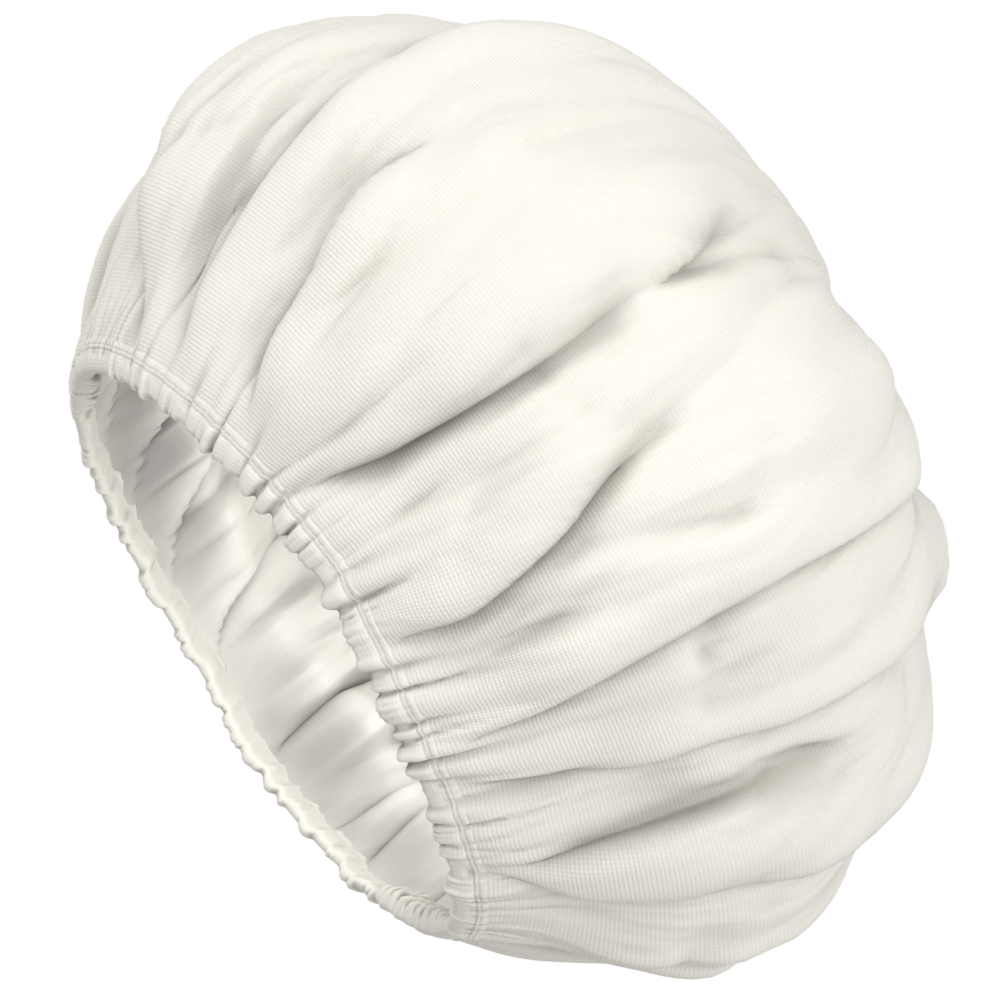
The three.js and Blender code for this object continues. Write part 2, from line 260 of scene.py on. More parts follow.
# %% [markdown]
# Near the apex the stations crowd together, so folds that cross the top are easier to place
# from above. Each is a line in plan, and its valley is measured along X.

# %% Folds across the top
# Y at the near end, middle and far end, X at the same three, depth, width before and after
TOP_FOLDS = [
    ((-100, -45, 40), (76, 72, 60), 7, 8, 15),
    ((-96, -45, 30), (105, 113, 118), 9, 7, 14),
]
# the length over which they set in, and how their flanks fall off
TOP_FOLD_END, TOP_FLANK = 25.0, 1.4
# the slack top sinks between two ridges: how far, and where in X and in Y
TOP_DIP, DIP_X, DIP_Y = 7.0, (-2.0, 14.0, 62.0, 84.0), (-105.0, -70.0, -10.0, 40.0)
# heights between which all of this sets in
TOP_SETS_IN = (110.0, 150.0)


def top_folds(places):
    """How far the folds across the top push the cloth out at these places on the bowl."""
    x, y, z = places.T
    high_up = ramp(z, *TOP_SETS_IN)
    push = -TOP_DIP * between(x, *DIP_X) * between(y, *DIP_Y) * high_up
    for (near, middle, far), xs, depth, before, after in TOP_FOLDS:
        across = x - np.polyval(np.polyfit((near, middle, far), xs, 2), y)
        fade = between(y, near, near + TOP_FOLD_END, far - TOP_FOLD_END, far) * high_up
        reach = np.abs(across) / np.where(across < 0, before, after)
        push -= depth * fade * np.exp(-reach ** TOP_FLANK)
    return push


print(f"{len(TOP_FOLDS)} folds across the top")

# %% [markdown]
# ## Gathers
# The elastic draws a long edge of cloth onto a short hem. The spare cloth stands up in lobes
# with a sharp notch between each two. Each lobe lies over to one side, and smaller lobes ride
# on the large ones. From about half of the notches a pleat runs on up the cloth, opens out and
# dies away. All of them are drawn once from a seeded generator, so they are uneven but the
# same on every run. Where the hem bends tightly, at the cap's two ends, more of them are
# pressed together.

# %% Notches in the hem
NOTCH_COUNT = 112
# how far a notch strays from its even place, in gaps, and how far they crowd to the two ends
NOTCH_STRAY, END_CROWDING = 0.36, 0.21
# the sharpest bends: station, half of their width in degrees, and notches added there
TIGHT_BENDS = [(206, 13, 9), (352, 12, 7)]
LEAST_GAP = 1.0


def crowd(angle):
    """Moves angles towards the cap's two ends."""
    return angle - END_CROWDING * np.sin(2 * angle)


def scattered(count):
    """Stations spread unevenly round the hem, closer together at the cap's two ends."""
    turns = (np.arange(count) + RANDOM.uniform(-NOTCH_STRAY, NOTCH_STRAY, count)) / count
    return np.degrees(crowd(turns * math.tau))


def gaps_after(stations):
    return np.diff(stations, append=stations[0] + FULL_TURN)


added = [place + np.linspace(-half, half, count) for place, half, count in TIGHT_BENDS]
NOTCHES = np.sort(np.concatenate([scattered(NOTCH_COUNT), *added]) % FULL_TURN)
NOTCHES = NOTCHES[gaps_after(NOTCHES) > LEAST_GAP]
print(f"{len(NOTCHES)} notches in the hem")

# %% Lobes between the notches
LOBES = len(NOTCHES)
LOBE_GAP = gaps_after(NOTCHES)
# limits of the lobes' height, and the gap in degrees below which a lobe stands less high
LOBE_LIMITS, FULL_GAP = (0.9, 1.9), 2.2
LOBE_HEIGHT = RANDOM.uniform(*LOBE_LIMITS, LOBES) * np.minimum(1.0, LOBE_GAP / FULL_GAP)
# the far side's edge is drawn up less: by which share, and between which stations
FAR_LOSS, FAR_SIDE = 0.3, (212.0, 225.0, 335.0, 345.0)
LOBE_HEIGHT *= 1.0 - FAR_LOSS * between(NOTCHES, *FAR_SIDE)
SHORTEST_LOBE, LOBE_SPREAD = 9.0, 24.0
LOBE_LENGTH = SHORTEST_LOBE + LOBE_SPREAD * RANDOM.uniform(0.0, 1.0, LOBES) ** 2
# a lobe's top stands nearer to one of its notches: below 1 the first, above 1 the second
LOBE_SKEW = RANDOM.choice((0.6, 1.6), LOBES)
# turns are given in degrees for this length up the cloth
TURN_RUN = 100.0
# the lobes wander round the ring by up to about this turn
LOBE_TURN, LOBE_WANDER = uneven((2, 9), 1.0), 6.0
# small lobes on the large ones: their height, their pitch in degrees, how far they wander, and
# how many times as often as the large ones
FINE_LOBE, FINE_PITCH, FINE_WANDER, FINE_OFTEN = 0.55, FULL_TURN / 156, 1.4, 3.0
# run up to which the gathers keep their full depth, and how they die out above it
FULL_RUN, DYING = 4.0, 1.5
# how a crest rounds off: 1 is a sine, and less is blunter
CREST = 0.7


def crests(turn):
    """A row of blunt crests with sharp notches between them, one for each whole turn."""
    return np.abs(np.sin(math.pi * turn)) ** CREST


def lobes(station, run):
    """How far the cloth stands out between the notches of the hem, in millimetres."""
    turned = (station + LOBE_WANDER * LOBE_TURN(station, 0.0) * run / TURN_RUN) % FULL_TURN
    lobe = np.searchsorted(NOTCHES, turned, side="right") - 1
    across = np.clip(((turned - NOTCHES[lobe]) % FULL_TURN) / LOBE_GAP[lobe], 0.0, 1.0)
    large = LOBE_HEIGHT[lobe] * crests(across ** LOBE_SKEW[lobe])
    wander = FINE_WANDER * LOBE_TURN(FINE_OFTEN * turned, 0.0)
    small = FINE_LOBE * crests((turned + wander) / FINE_PITCH)
    climb = np.maximum(run - FULL_RUN, 0.0) / LOBE_LENGTH[lobe]
    return (large + small) * np.exp(-climb ** DYING)


print(f"{LOBES} lobes, up to {LOBE_HEIGHT.max():.1f} mm high")

# %% Pleats that run up the cloth
PLEATED_SHARE, RIPPLE_COUNT = 0.55, 50
# spread of the pleats' turn
PLEAT_TURN = 5.0


def pleat_rows(stations, depth, width, widening, length, rarity):
    """One row for each pleat: station, depth, width at the hem, run in which it widens by as much
    again, length, and turn. A rarity above 1 makes most of them short."""
    count = len(stations)
    depths, widths = RANDOM.uniform(*depth, count), RANDOM.uniform(*width, count)
    lengths = length[0] + (length[1] - length[0]) * RANDOM.uniform(0.0, 1.0, count) ** rarity
    turns = RANDOM.normal(0.0, PLEAT_TURN, count)
    return np.stack([stations, depths, widths, np.full(count, widening), lengths, turns], axis=1)


pleated = NOTCHES[RANDOM.uniform(0.0, 1.0, LOBES) < PLEATED_SHARE]
sharp_pleats = pleat_rows(pleated, (1.0, 3.0), (0.7, 1.3), 20.0, (24.0, 104.0), 1.4)
soft_ripples = pleat_rows(scattered(RIPPLE_COUNT), (1.2, 3.2), (2.0, 4.0), 60.0, (40.0, 110.0), 1.0)
PLEATS = np.concatenate([sharp_pleats, soft_ripples])
print(f"{len(pleated)} pleats and {RIPPLE_COUNT} ripples, up to {PLEATS[:, 4].max():.0f} mm long")

# %% Gathers as a whole
DEEPEST_PLEAT = 4.2
# a pleat lies over to the side that it turns to: its two sides, as shares of its width
STEEP_SIDE, GENTLE_SIDE = 0.55, 1.7
PLEAT_FLANK = 1.1
# the stitching presses the gathers flat: the share that it takes away, its run and its reach
PRESSED, SEAM_RUN, SEAM_REACH = 0.55, 8.35, 1.8


def gathers(station, run):
    """How far the gathers drawn up by the elastic push the cloth out, in millimetres."""
    degree = bowl_frame(station, share_of_run(run))[3]
    up = np.maximum(run - FULL_RUN, 0.0)
    total = np.zeros_like(station)
    for place, depth, width, widening, length, tilt in PLEATS:
        across = turn_from(station, place + tilt * run / TURN_RUN) * degree
        side = np.where(across * tilt < 0.0, STEEP_SIDE, GENTLE_SIDE) * width * (1.0 + up / widening)
        total += depth * np.exp(-(up / length) ** DYING - (np.abs(across) / side) ** PLEAT_FLANK)
    sunk = DEEPEST_PLEAT * np.tanh(total / DEEPEST_PLEAT)
    pressed = 1.0 - PRESSED * np.exp(-((run - SEAM_RUN) / SEAM_REACH) ** 2)
    return (lobes(station, run) - sunk) * pressed


# %% [markdown]
# The free cloth above has loose swells, and faint creases where two swells meet. The size of
# an uneven field, without its sign, has such a crease wherever the field goes through 0.

# %% Slack
SWELL, SOFT_CREASE, FINE_CREASE = uneven((3, 9), 9.0), uneven((8, 26), 14.0), uneven((24, 60), 30.0)
SWELL_HEIGHT, SOFT_HEIGHT, FINE_HEIGHT, MEAN_HEIGHT = 2.6, 3.4, 0.9, 2.4
# the swells between two creases are flat above these levels
SOFT_LEVEL, FINE_LEVEL = 0.9, 0.8
# shares between which the slack is there, and between which its fine creases die out
SLACK_SPAN, FINE_DIES = (0.04, 0.2, 0.62, 0.95), (0.3, 0.6)


def slack(station, share):
    """Loose swells of the free cloth, with creases where they meet."""
    fine = FINE_HEIGHT * np.minimum(np.abs(FINE_CREASE(station, share)), FINE_LEVEL)
    soft = SOFT_HEIGHT * np.minimum(np.abs(SOFT_CREASE(station, share)), SOFT_LEVEL)
    loose = SWELL_HEIGHT * SWELL(station, share) + soft + fine * (1.0 - ramp(share, *FINE_DIES))
    return (loose - MEAN_HEIGHT) * between(share, *SLACK_SPAN)


print(f"swells about {SWELL_HEIGHT} mm high, creases about {SOFT_HEIGHT} mm deep")

# %% [markdown]
# Handled cloth also keeps short dents and creases that belong to no long fold. Each one here
# is a shallow groove with its own place, slant, length and bend, one side softer than the other.

# %% Short creases
# station, share, slant in radians, length, depth, width and bend
CREASE_COUNT = 130
CREASES = np.stack([
    RANDOM.uniform(0.0, FULL_TURN, CREASE_COUNT), RANDOM.uniform(0.08, 0.62, CREASE_COUNT),
    RANDOM.normal(0.0, 0.45, CREASE_COUNT), RANDOM.uniform(8.0, 30.0, CREASE_COUNT),
    RANDOM.uniform(0.7, 2.6, CREASE_COUNT), RANDOM.uniform(2.0, 5.0, CREASE_COUNT),
    RANDOM.normal(0.0, 0.006, CREASE_COUNT)], axis=1)
# and the ones that show best on the real cap
DENTS = [
    (82, 0.68, 0.6, 22, 3.0, 7.0, 0.0), (95.5, 0.45, -0.3, 14, 2.5, 6.0, 0.0),
    (119, 0.285, -1.2, 16, 6.5, 4.5, 0.0), (123, 0.30, -0.6, 14, 3.5, 5.0, 0.0),
    (127, 0.12, 0.0, 11, 2.5, 2.0, 0.0), (141, 0.35, 0.4, 9, 3.0, 3.0, 0.0),
    (179, 0.26, -1.4, 30, 3.0, 3.0, 0.0), (190, 0.22, -1.2, 22, 2.5, 3.0, 0.0),
    (168, 0.20, -1.1, 20, 2.5, 3.0, 0.0),
]
# the softer side of a crease, in widths, and how its flanks fall off
SOFT_FLANK, CREASE_FLANK = 2.2, 1.3


def short_creases(station, share, degree):
    """How far the short creases push the cloth, in millimetres."""
    push = np.zeros_like(station)
    for place, level, slant, length, depth, width, bend in [*DENTS, *CREASES]:
        x, y = turn_from(station, place) * degree, (share - level) * APEX_RUN
        along = x * math.sin(slant) + y * math.cos(slant)
        across = x * math.cos(slant) - y * math.sin(slant) + bend * along ** 2
        reach = np.abs(across) / np.where(across < 0, width, SOFT_FLANK * width)
        push -= depth * np.exp(-reach ** CREASE_FLANK - (along / length) ** 2)
    return push


print(f"{CREASE_COUNT} short creases and {len(DENTS)} dents")

# %% [markdown]
# ## A flat sheet that becomes cloth
# Each cloth starts as a flat grid, as real cloth does. Its columns are stations round the cap
# and its rows go up the cloth. The points are moved to their places on the folded crown, and
# then the sheet's two ends are welded. The flat sheet's own sizes, in millimetres, are kept
# as a map, so that the weave follows the folds as threads do.

# %% Cut a flat sheet
GIRTH = math.pi * (CROWN_HALF_LENGTH + CROWN_HALF_WIDTH)


def flat_sheet(name, columns, rows):
    """A flat grid mesh, with the station and the row of each of its points."""
    bm = bmesh.new()
    bmesh.ops.create_grid(bm, x_segments=columns, y_segments=rows - 1, size=0.5)
    mesh = bpy.data.meshes.new(name)
    bm.to_mesh(mesh)
    bm.free()
    flat = np.empty(len(mesh.vertices) * 3)
    mesh.vertices.foreach_get("co", flat)
    x, y, _ = flat.reshape(-1, 3).T
    return mesh, (x + 0.5) * FULL_TURN, np.rint((y + 0.5) * (rows - 1)).astype(int)


def add_cloth_map(mesh, station, run):
    """Gives each face corner its place on the flat cloth, in millimetres."""
    corners = np.empty(len(mesh.loops), dtype=np.int64)
    mesh.loops.foreach_get("vertex_index", corners)
    cloth_map = np.stack([station[corners] / FULL_TURN * GIRTH, run[corners]], axis=1)
    mesh.uv_layers.new(name="cloth").data.foreach_set("uv", cloth_map.ravel())


# %% Sew it up
WELD_DISTANCE = 1e-6


def finish_piece(name, mesh, points, node):
    """Writes the shaped points in metres, welds the sheet and puts the piece in the scene."""
    mesh.vertices.foreach_set("co", (points * MM).ravel())
    bm = bmesh.new()
    bm.from_mesh(mesh)
    bmesh.ops.remove_doubles(bm, verts=bm.verts[:], dist=WELD_DISTANCE)
    bmesh.ops.recalc_face_normals(bm, faces=bm.faces[:])
    bm.to_mesh(mesh)
    bm.free()
    mesh.shade_smooth()
    piece = bpy.data.objects.new(name, mesh)
    bpy.context.scene.collection.objects.link(piece)
    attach(piece, "root")
    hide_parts(node)
    print(f"{name}: {len(mesh.vertices)} points, {len(mesh.polygons)} faces")
    return piece


def thicken(piece, millimetres):
    """Grows the cloth's thickness inwards from its outer face."""
    wall = piece.modifiers.new("cloth thickness", "SOLIDIFY")
    wall.thickness = millimetres * MM
    wall.offset = -1.0


# %% [markdown]
# ## How open each point of a cloth is
# Deep in a fold, cloth looks darker than its thread is: little light gets in. Bounced studio
# light fills white folds more than a room does, so the cloths also carry their own record of
# how open each point is, and their finishes paint shade into the colour where it is low. In
# eight directions over the cloth's grid, the steepest rise to a neighbour is that point's
# horizon. What is left above the horizons is its share of the sky, and a contrast above 1
# darkens the half-open places more.

# %% Openness of the folds
ALONG_STEPS = [(0, step) for step in (1, 2, 3, 5, 7, 10, 14, 19, 26, 34)]
UP_STEPS = [(step, 0) for step in (1, 2, 3, 4, 6, 8)]
SLANT_STEPS = [(1, 3), (2, 7), (3, 11), (5, 18)]
DIRECTIONS = 8
CLOSED_SKY, OPEN_SKY = 0.55, 0.96
# the square of the least distance to a neighbour, so that points that meet have no horizon
LEAST_SQUARE = 0.0025


def look_round():
    """The steps of the eight directions: along the ring, up the cloth and slanting."""
    for way in (1, -1):
        yield [(up, way * along) for up, along in ALONG_STEPS]
        yield [(way * up, along) for up, along in UP_STEPS]
        yield [(way * up, along) for up, along in SLANT_STEPS]
        yield [(way * up, -along) for up, along in SLANT_STEPS]


def add_openness(mesh, station, row, points, facing, contrast):
    """Stores how open each point is on the side that the cloth faces, from 0 to 1."""
    rows = row.max() + 1
    columns = len(row) // rows - 1
    column = np.rint(station / FULL_TURN * columns).astype(int)
    place, face = np.zeros((rows, columns + 1, 3)), np.zeros((rows, columns + 1, 3))
    place[row, column], face[row, column] = points, facing
    place, face = place[:, :-1], face[:, :-1]
    sky = np.zeros((rows, columns))
    for steps in look_round():
        horizon = np.zeros((rows, columns))
        for up, along in steps:
            beyond = np.roll(place, -along, axis=1)[np.clip(np.arange(rows) + up, 0, rows - 1)]
            away = beyond - place
            above = np.sum(away * face, axis=2)
            beside = np.sqrt(np.maximum(np.sum(away * away, axis=2) - above ** 2, LEAST_SQUARE))
            horizon = np.maximum(horizon, np.arctan2(above, beside))
        sky += np.cos(horizon) ** 2 / DIRECTIONS
    values = np.clip((sky - CLOSED_SKY) / (OPEN_SKY - CLOSED_SKY), 0.0, 1.0) ** contrast
    values = values[row, column % columns]
    mesh.attributes.new("openness", "FLOAT", "POINT").data.foreach_set("value", values)
    print(f"{mesh.name}: openness {values.min():.2f} to {values.max():.2f}, mean {values.mean():.2f}")


# %% [markdown]
# ## The crown cloth
# One ribbed cloth makes the whole crown. A ball with a cloth simulation could stand for it,
# but on a sleeve of rings each point keeps its station and run, which the folds and the weave
# need. The rings are closer together near the hem, where the gathers are finest, and the last
# one closes into the apex.

# %% Crown cloth
CLOTH_EDGE_RUN = 6.3
# above 1 the rings crowd towards the hem
RING_CROWDING = 1.5
CROWN_STATIONS, CROWN_RINGS = 800, 60
SHELL_THICKNESS, CROWN_CONTRAST = 0.7, 1.3


def sleeve(name, stations, rings):
    """A flat sheet from the casing to the apex, with its points' stations, rows, runs and shares."""
    mesh, station, row = flat_sheet(name, stations, rings)
    steps = (np.arange(rings) / (rings - 1)) ** RING_CROWDING
    run = (CLOTH_EDGE_RUN + (APEX_RUN - CLOTH_EDGE_RUN) * steps)[row]
    add_cloth_map(mesh, station, run)
    return mesh, station, row, run, share_of_run(run)


def place_cloth(station, share, push, lean):
    """Places on the bowl, pushed out and moved round the ring."""
    out, along, _, _ = bowl_frame(station, share)
    return bowl(station, share) + out * push[:, None] + along * lean[:, None]


crown_mesh, station, row, run, share = sleeve("crown_cloth", CROWN_STATIONS, CROWN_RINGS)
out, _, _, degree = bowl_frame(station, share)
push, lean = main_folds(station, share, degree)
push += top_folds(bowl(station, share)) + slack(station, share) + gathers(station, run)
push += short_creases(station, share, degree)
places = place_cloth(station, share, push, lean)
add_openness(crown_mesh, station, row, places, out, CROWN_CONTRAST)
crown = finish_piece("crown_cloth", crown_mesh, places, "outer_shell")
thicken(crown, SHELL_THICKNESS)

# %% [markdown]
# ## The lining
# The lining hangs inside the crown and is sewn into the same hem. A smaller copy of the crown
# would show the crown's sharp folds, but the lining is softer and smoother, and puffs inwards
# between creases of its own. A crease starts along the hem and bends up the cloth, which laps
# over it on its steep side, and shallow wrinkles cross the puffs. The main folds are the
# crown's own ones made broader, so the lining stays inside the crown cloth.

# %% Creases and puffs of the lining
# stations of each crease at its low end, middle and high end, its width, and its top share
LINING_CREASES = [
    (318, 336, 350, 11, 0.40), (303, 323, 338, 12, 0.42), (288, 308, 324, 13, 0.42),
    (274, 292, 306, 13, 0.42), (262, 276, 284, 12, 0.40), (248, 255, 256, 12, 0.50),
    (236, 236, 236, 8, 0.40), (220, 227, 230, 9, 0.45), (205, 208, 214, 8, 0.40),
    (192, 190, 195, 7, 0.45), (178, 177, 172, 7, 0.42), (163, 160, 158, 8, 0.40),
    (141, 143, 146, 12, 0.45), (118, 116, 112, 13, 0.42), (96, 95, 99, 12, 0.50),
    (72, 75, 70, 12, 0.44), (52, 50, 53, 9, 0.42), (34, 36, 33, 8, 0.45), (18, 17, 21, 7, 0.40),
    (3, 4, 1, 7, 0.42), (347, 346, 350, 7, 0.40), (330, 331, 336, 8, 0.45),
]
# share of the way up at which a crease has mostly turned from along the hem to up the cloth
CREASE_TURNS = 0.06
# share of its own height at which a crease starts to die out
CREASE_DIES = 0.5
# a crease is steep on its -Y side, where the cloth laps over it: its two sides, as shares of
# its width, how far the cloth laps, and how the flanks fall off
STEEP_CREASE, GENTLE_CREASE, CREASE_LAP, LINING_FLANK = 0.22, 0.9, 4.5, 0.8
LINING_PUFF = 12.0
WRINKLE_HEIGHT, WRINKLE_LEVEL = 2.5, 0.9
LINING_SLACK = uneven((10, 26), 22.0)
# shares between which the lining is loose
LOOSE_SPAN = (0.01, 0.12, 0.5, 0.9)


def lining_puffs(station, share, degree):
    """How far the lining puffs inwards, most between its creases, and laps round the ring."""
    free, lap = np.ones_like(station), np.zeros_like(station)
    turned = 1.0 - np.exp(-share / CREASE_TURNS)
    for first, middle, last, width, top in LINING_CREASES:
        across = turn_from(station, fold_line(turned, 0.0, 1.0, first, middle, last)) * degree
        towards = math.copysign(1.0, math.cos(math.radians(middle)))
        steep = across * towards > 0
        reach = np.abs(across) / (np.where(steep, STEEP_CREASE, GENTLE_CREASE) * width)
        fade = 1.0 - ramp(share, CREASE_DIES * top, top)
        free *= 1.0 - fade * np.exp(-reach ** LINING_FLANK)
        lap -= np.where(steep, towards * CREASE_LAP * fade * reach * np.exp(1.0 - reach), 0.0)
    wrinkles = WRINKLE_HEIGHT * np.minimum(np.abs(LINING_SLACK(station, share)), WRINKLE_LEVEL)
    loose = between(share, *LOOSE_SPAN)
    return (LINING_PUFF * free + wrinkles) * loose, lap * loose


print(f"{len(LINING_CREASES)} creases in the lining")

# %% Lining cloth
LINING_STATIONS, LINING_RINGS = 900, 46
LINING_THICKNESS, LINING_CONTRAST = 1.0, 2.2
# gap to the crown cloth far from the hem, what is added for the gathers, up to which run, and
# the runs between which that sets in
LINING_GAP, GATHER_GAP, GATHER_RUN, GAP_SETS_IN = 2.2, 2.4, 60.0, (4.0, 24.0)
LINING_BREADTH = 2.0

lining_mesh, station, row, run, share = sleeve("lining_cloth", LINING_STATIONS, LINING_RINGS)
out, _, _, degree = bowl_frame(station, share)
push, _ = main_folds(station, share, degree, broad=LINING_BREADTH, overlap=0.0)
push += top_folds(bowl(station, share)) + slack(station, share)
push -= LINING_GAP + GATHER_GAP * np.exp(-(run / GATHER_RUN) ** 2) * ramp(run, *GAP_SETS_IN)
puff, lap = lining_puffs(station, share, degree)
places = place_cloth(station, share, push - puff, lap)
add_openness(lining_mesh, station, row, places, -out, LINING_CONTRAST)
lining = finish_piece("lining_cloth", lining_mesh, places, "lining")
thicken(lining, LINING_THICKNESS)

# %% [markdown]
# ## The hem casing
# A tape of the crown's cloth is folded round the edges of both cloths and the elastic. The
# elastic draws it up, so its lower edge is scalloped, and its outer side puckers with the
# gathers and sinks with the folds above. Its inner side is ruffled too, and crumpled where the
# hem bends sharply at its two ends. A bevelled curve could follow the hem but couldn't pucker,
# so it is a strip, bent round its section, with two shallow grooves for the stitches.

# %% Crumpled ends
# pleats that slant across the tape's inner side: their depth, their pitch in degrees, degrees
# that they turn in 1 mm, how far and how often they wander, and the stations where they begin
# and end
CRUMPLE_DEPTH, CRUMPLE_PITCH, CRUMPLE_SLANT = 4.0, 3.6, 0.45
CRUMPLE_WANDER, CRUMPLE_OFTEN = 1.2, 4.0
CRUMPLE_SPANS = [(179.0, 187.0, 209.0, 217.0), (338.0, 344.0, 355.0, 359.5)]


def crumples(station, run):
    """0 in the notches between the crumples and outside them, up to 1 on their crests."""
    wander = CRUMPLE_WANDER * LOBE_TURN(station * CRUMPLE_OFTEN, 0.0)
    pleats = crests((station + CRUMPLE_SLANT * run + wander) / CRUMPLE_PITCH)
    return pleats * sum(between(station, *span) for span in CRUMPLE_SPANS)


print(f"{len(CRUMPLE_SPANS)} crumpled ends")

# %% Places on the casing
# offset of the middle between the tape's two sides from the crown cloth's outer face
CASING_MIDDLE = -1.2
# runs between which the elastic's channel closes, and how deep a pucker may sink in it
CHANNEL_CLOSES, CHANNEL_SLACK = (4.3, 7.1), 0.4
# the edge hangs lower at the lobes, and at the notches it rises no further than the elastic.
# The last two are what the crumples add and the run up to which the scallops reach.
SCALLOP, NOTCH_RISE, CRUMPLE_HANG, SCALLOP_RUN = 0.75, 0.9, 0.8, 6.0
INNER_PUCKER = 0.6


def casing_places(station, run, offset, rise=0.0):
    """Puckers the casing with the gathers, sinks it with the folds, keeps the elastic's channel
    open and scallops the edge. Rise lifts a point straight off the casing's face."""
    level = share_of_run(run)
    sunk, _ = main_folds(station, level, bowl_frame(station, level)[3])
    pucker, crumpled = gathers(station, run), crumples(station, run)
    in_channel = 1.0 - ramp(run, *CHANNEL_CLOSES)
    open_pucker = pucker + (np.maximum(pucker, -CHANNEL_SLACK) - pucker) * in_channel
    inner_pucker = INNER_PUCKER * pucker - CRUMPLE_DEPTH * crumpled
    moved = offset + rise + np.where(offset > CASING_MIDDLE, open_pucker + sunk, inner_pucker)
    hang = np.maximum(pucker, -NOTCH_RISE) + CRUMPLE_HANG * crumpled
    share = share_of_run(run - SCALLOP * hang * (1.0 - ramp(run, 0.0, SCALLOP_RUN)))
    return bowl(station, share) + bowl_frame(station, share)[0] * moved[:, None]


# %% Hem casing
CASING_STATIONS = 1100
CASING_THICKNESS, CASING_CONTRAST = 0.55, 1.7
# offset from the crown cloth's outer face and run of the tape's outer face, from its outer
# top edge round the hem to its inner top edge
CASING_SECTION = np.array([
    (0.05, 11.0), (0.22, 10.5), (0.34, 10.0), (0.36, 9.6), (0.17, 9.1), (0.42, 8.6), (0.44, 8.1),
    (0.25, 7.6), (0.6, 7.1), (0.8, 6.3), (0.88, 5.2), (0.9, 4.0), (0.88, 2.8), (0.85, 1.6),
    (0.72, 0.9), (0.4, 0.3), (-0.1, -0.2), (-0.7, -0.5), (-1.2, -0.6), (-1.7, -0.5), (-2.3, -0.2),
    (-2.8, 0.3), (-3.1, 0.9), (-3.3, 1.6), (-3.6, 2.8), (-3.8, 4.0), (-3.95, 5.2), (-4.05, 6.3),
    (-4.1, 7.1), (-4.1, 7.6), (-4.15, 8.1), (-4.2, 8.6), (-4.2, 9.1), (-4.2, 9.6), (-4.2, 10.0),
    (-4.15, 10.5), (-4.05, 11.0),
])

casing_mesh, station, row = flat_sheet("hem_casing_cloth", CASING_STATIONS, len(CASING_SECTION))
offset, run = CASING_SECTION[row].T
# on the tape's inner side the map's runs are below 0
add_cloth_map(casing_mesh, station, np.where(offset > CASING_MIDDLE, run, -run))
places = casing_places(station, run, offset)
along_section = unit(np.gradient(CASING_SECTION, axis=0))[row]
out, _, up, _ = bowl_frame(station, share_of_run(run))
facing = out * -along_section[:, 1:] + up * along_section[:, :1]
add_openness(casing_mesh, station, row, places, facing, CASING_CONTRAST)
casing = finish_piece("hem_casing_cloth", casing_mesh, places, "hem_casing")
thicken(casing, CASING_THICKNESS)

# %% [markdown]
# ## Stitching
# Two rows of lockstitch close the casing. The thread shows as short grains: it lies on the
# cloth along each stitch and dives into it at both ends. Each thread is a flat strip wrapped
# into a thin tube along its row. Sinking the tube into the cloth at the needle holes makes
# the grains, so the thread stays in one piece as a real one does.

# %% Stitch rows
STITCH_PITCH, STITCH_POINTS = 2.5, 6
THREAD_RADIUS, THREAD_SIDES = 0.18, 6
# how deep the thread dives at a needle hole, and how flat it lies between two: below 1 is flatter
NEEDLE_DEPTH, STITCH_FLATNESS = 0.35, 0.6
# run of each row, and its offset from the crown cloth's outer face
LOWER_ROW, UPPER_ROW = (7.6, 0.32), (9.1, 0.24)
# an oval is a little longer round than the circle of its mean radius
OVAL_GIRTH = 1.02
HEM_GIRTH = math.pi * (HEM_HALF_LENGTH + HEM_HALF_WIDTH) * OVAL_GIRTH


def stitch_row(name, row_run, face_offset, node):
    """A thread that follows the casing's outer face."""
    stitches = round(HEM_GIRTH / STITCH_PITCH)
    mesh, station, side = flat_sheet(name, stitches * STITCH_POINTS, THREAD_SIDES + 1)
    lift = np.abs(np.sin(np.radians(station) * stitches / 2)) ** STITCH_FLATNESS - 1.0
    turn = side / THREAD_SIDES * math.tau
    rise = THREAD_RADIUS * np.cos(turn) + NEEDLE_DEPTH * lift
    run = row_run + THREAD_RADIUS * np.sin(turn)
    places = casing_places(station, run, np.full_like(run, face_offset), rise)
    add_cloth_map(mesh, station, turn)
    return finish_piece(name, mesh, places, node)


stitch_rows = [stitch_row("lower_stitches", *LOWER_ROW, "stitch_row_lower"),
               stitch_row("upper_stitches", *UPPER_ROW, "stitch_row_upper")]
